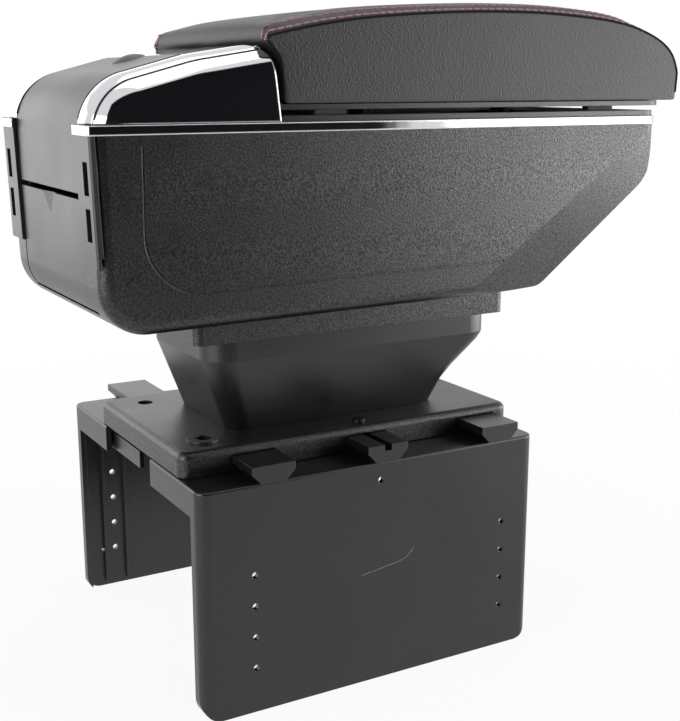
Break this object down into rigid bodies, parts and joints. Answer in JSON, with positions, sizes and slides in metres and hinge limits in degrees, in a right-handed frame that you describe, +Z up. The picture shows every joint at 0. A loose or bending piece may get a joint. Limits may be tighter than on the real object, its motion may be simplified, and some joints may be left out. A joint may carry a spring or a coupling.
{
  "type": "car centre armrest",
  "caption": "Car centre armrest with a sliding padded lid, chrome-trimmed storage box, tilting rear bin, cup drawer and a base of adjustable width.",
  "frame": {"origin": "on the floor, under the middle of the base, in the box's plane of symmetry", "axes": "+X towards the front of the car, +Y to the left side of the car, +Z up"},
  "size_m": [0.3332, 0.181, 0.3357],
  "materials": {
    "grained_abs": "black, fine pebble grain",
    "satin_abs": "black, smooth satin",
    "rear_abs": "black, very fine satin grain",
    "chrome_plate": "bright chrome plating on plastic",
    "leathercloth": "black grained leathercloth, dark-red twin stitching",
    "steel": "zinc plated",
    "dark_steel": "blackened",
    "bumper_rubber": "matt black"
  },
  "bodies": {
    "console": {"base_cover": "grained_abs", "width_stop_screws": "dark_steel", "pedestal": "satin_abs", "pedestal_lower_screws": "steel", "pedestal_upper_screws": "steel", "storage_box": "grained_abs", "right_pillar": "rear_abs", "left_pillar": "rear_abs", "rear_hump": "chrome_plate", "right_cheek": "chrome_plate", "left_cheek": "chrome_plate", "trim_band": "chrome_plate", "upper_rim": "satin_abs", "lid_hinge_pin": "steel"},
    "right_skirt": {"right_side_plate": "satin_abs"},
    "left_skirt": {"left_side_plate": "satin_abs"},
    "flap": {"rear_flap": "rear_abs", "ash_bin": "satin_abs", "flap_pins": "steel"},
    "drawer": {"cup_drawer": "rear_abs"},
    "lid": {"lid_plate": "satin_abs", "lid_bumpers": "bumper_rubber"},
    "cushion": {"cushion_pad": "leathercloth", "cushion_board": "satin_abs", "slide_screws": "steel"}
  },
  "joints": [
    {"name": "right_width_slide", "type": "slide", "parent": "console", "child": "right_skirt", "axis": [0, -1, 0], "range_m": [-0.02, 0.024]},
    {"name": "left_width_slide", "type": "slide", "parent": "console", "child": "left_skirt", "axis": [0, 1, 0], "range_m": [-0.044, 0]},
    {"name": "flap_hinge", "type": "hinge", "parent": "console", "child": "flap", "pos_m": [-0.1292, 0, 0.249], "axis": [0, -1, 0], "range_deg": [0, 50]},
    {"name": "drawer_slide", "type": "slide", "parent": "console", "child": "drawer", "axis": [-1, 0, 0], "range_m": [0, 0.075]},
    {"name": "lid_hinge", "type": "hinge", "parent": "console", "child": "lid", "pos_m": [-0.0534, 0, 0.3071], "axis": [0, -1, 0], "range_deg": [0, 68]},
    {"name": "cushion_slide", "type": "slide", "parent": "lid", "child": "cushion", "axis": [1, 0, 0], "range_m": [0, 0.06]}
  ]
}
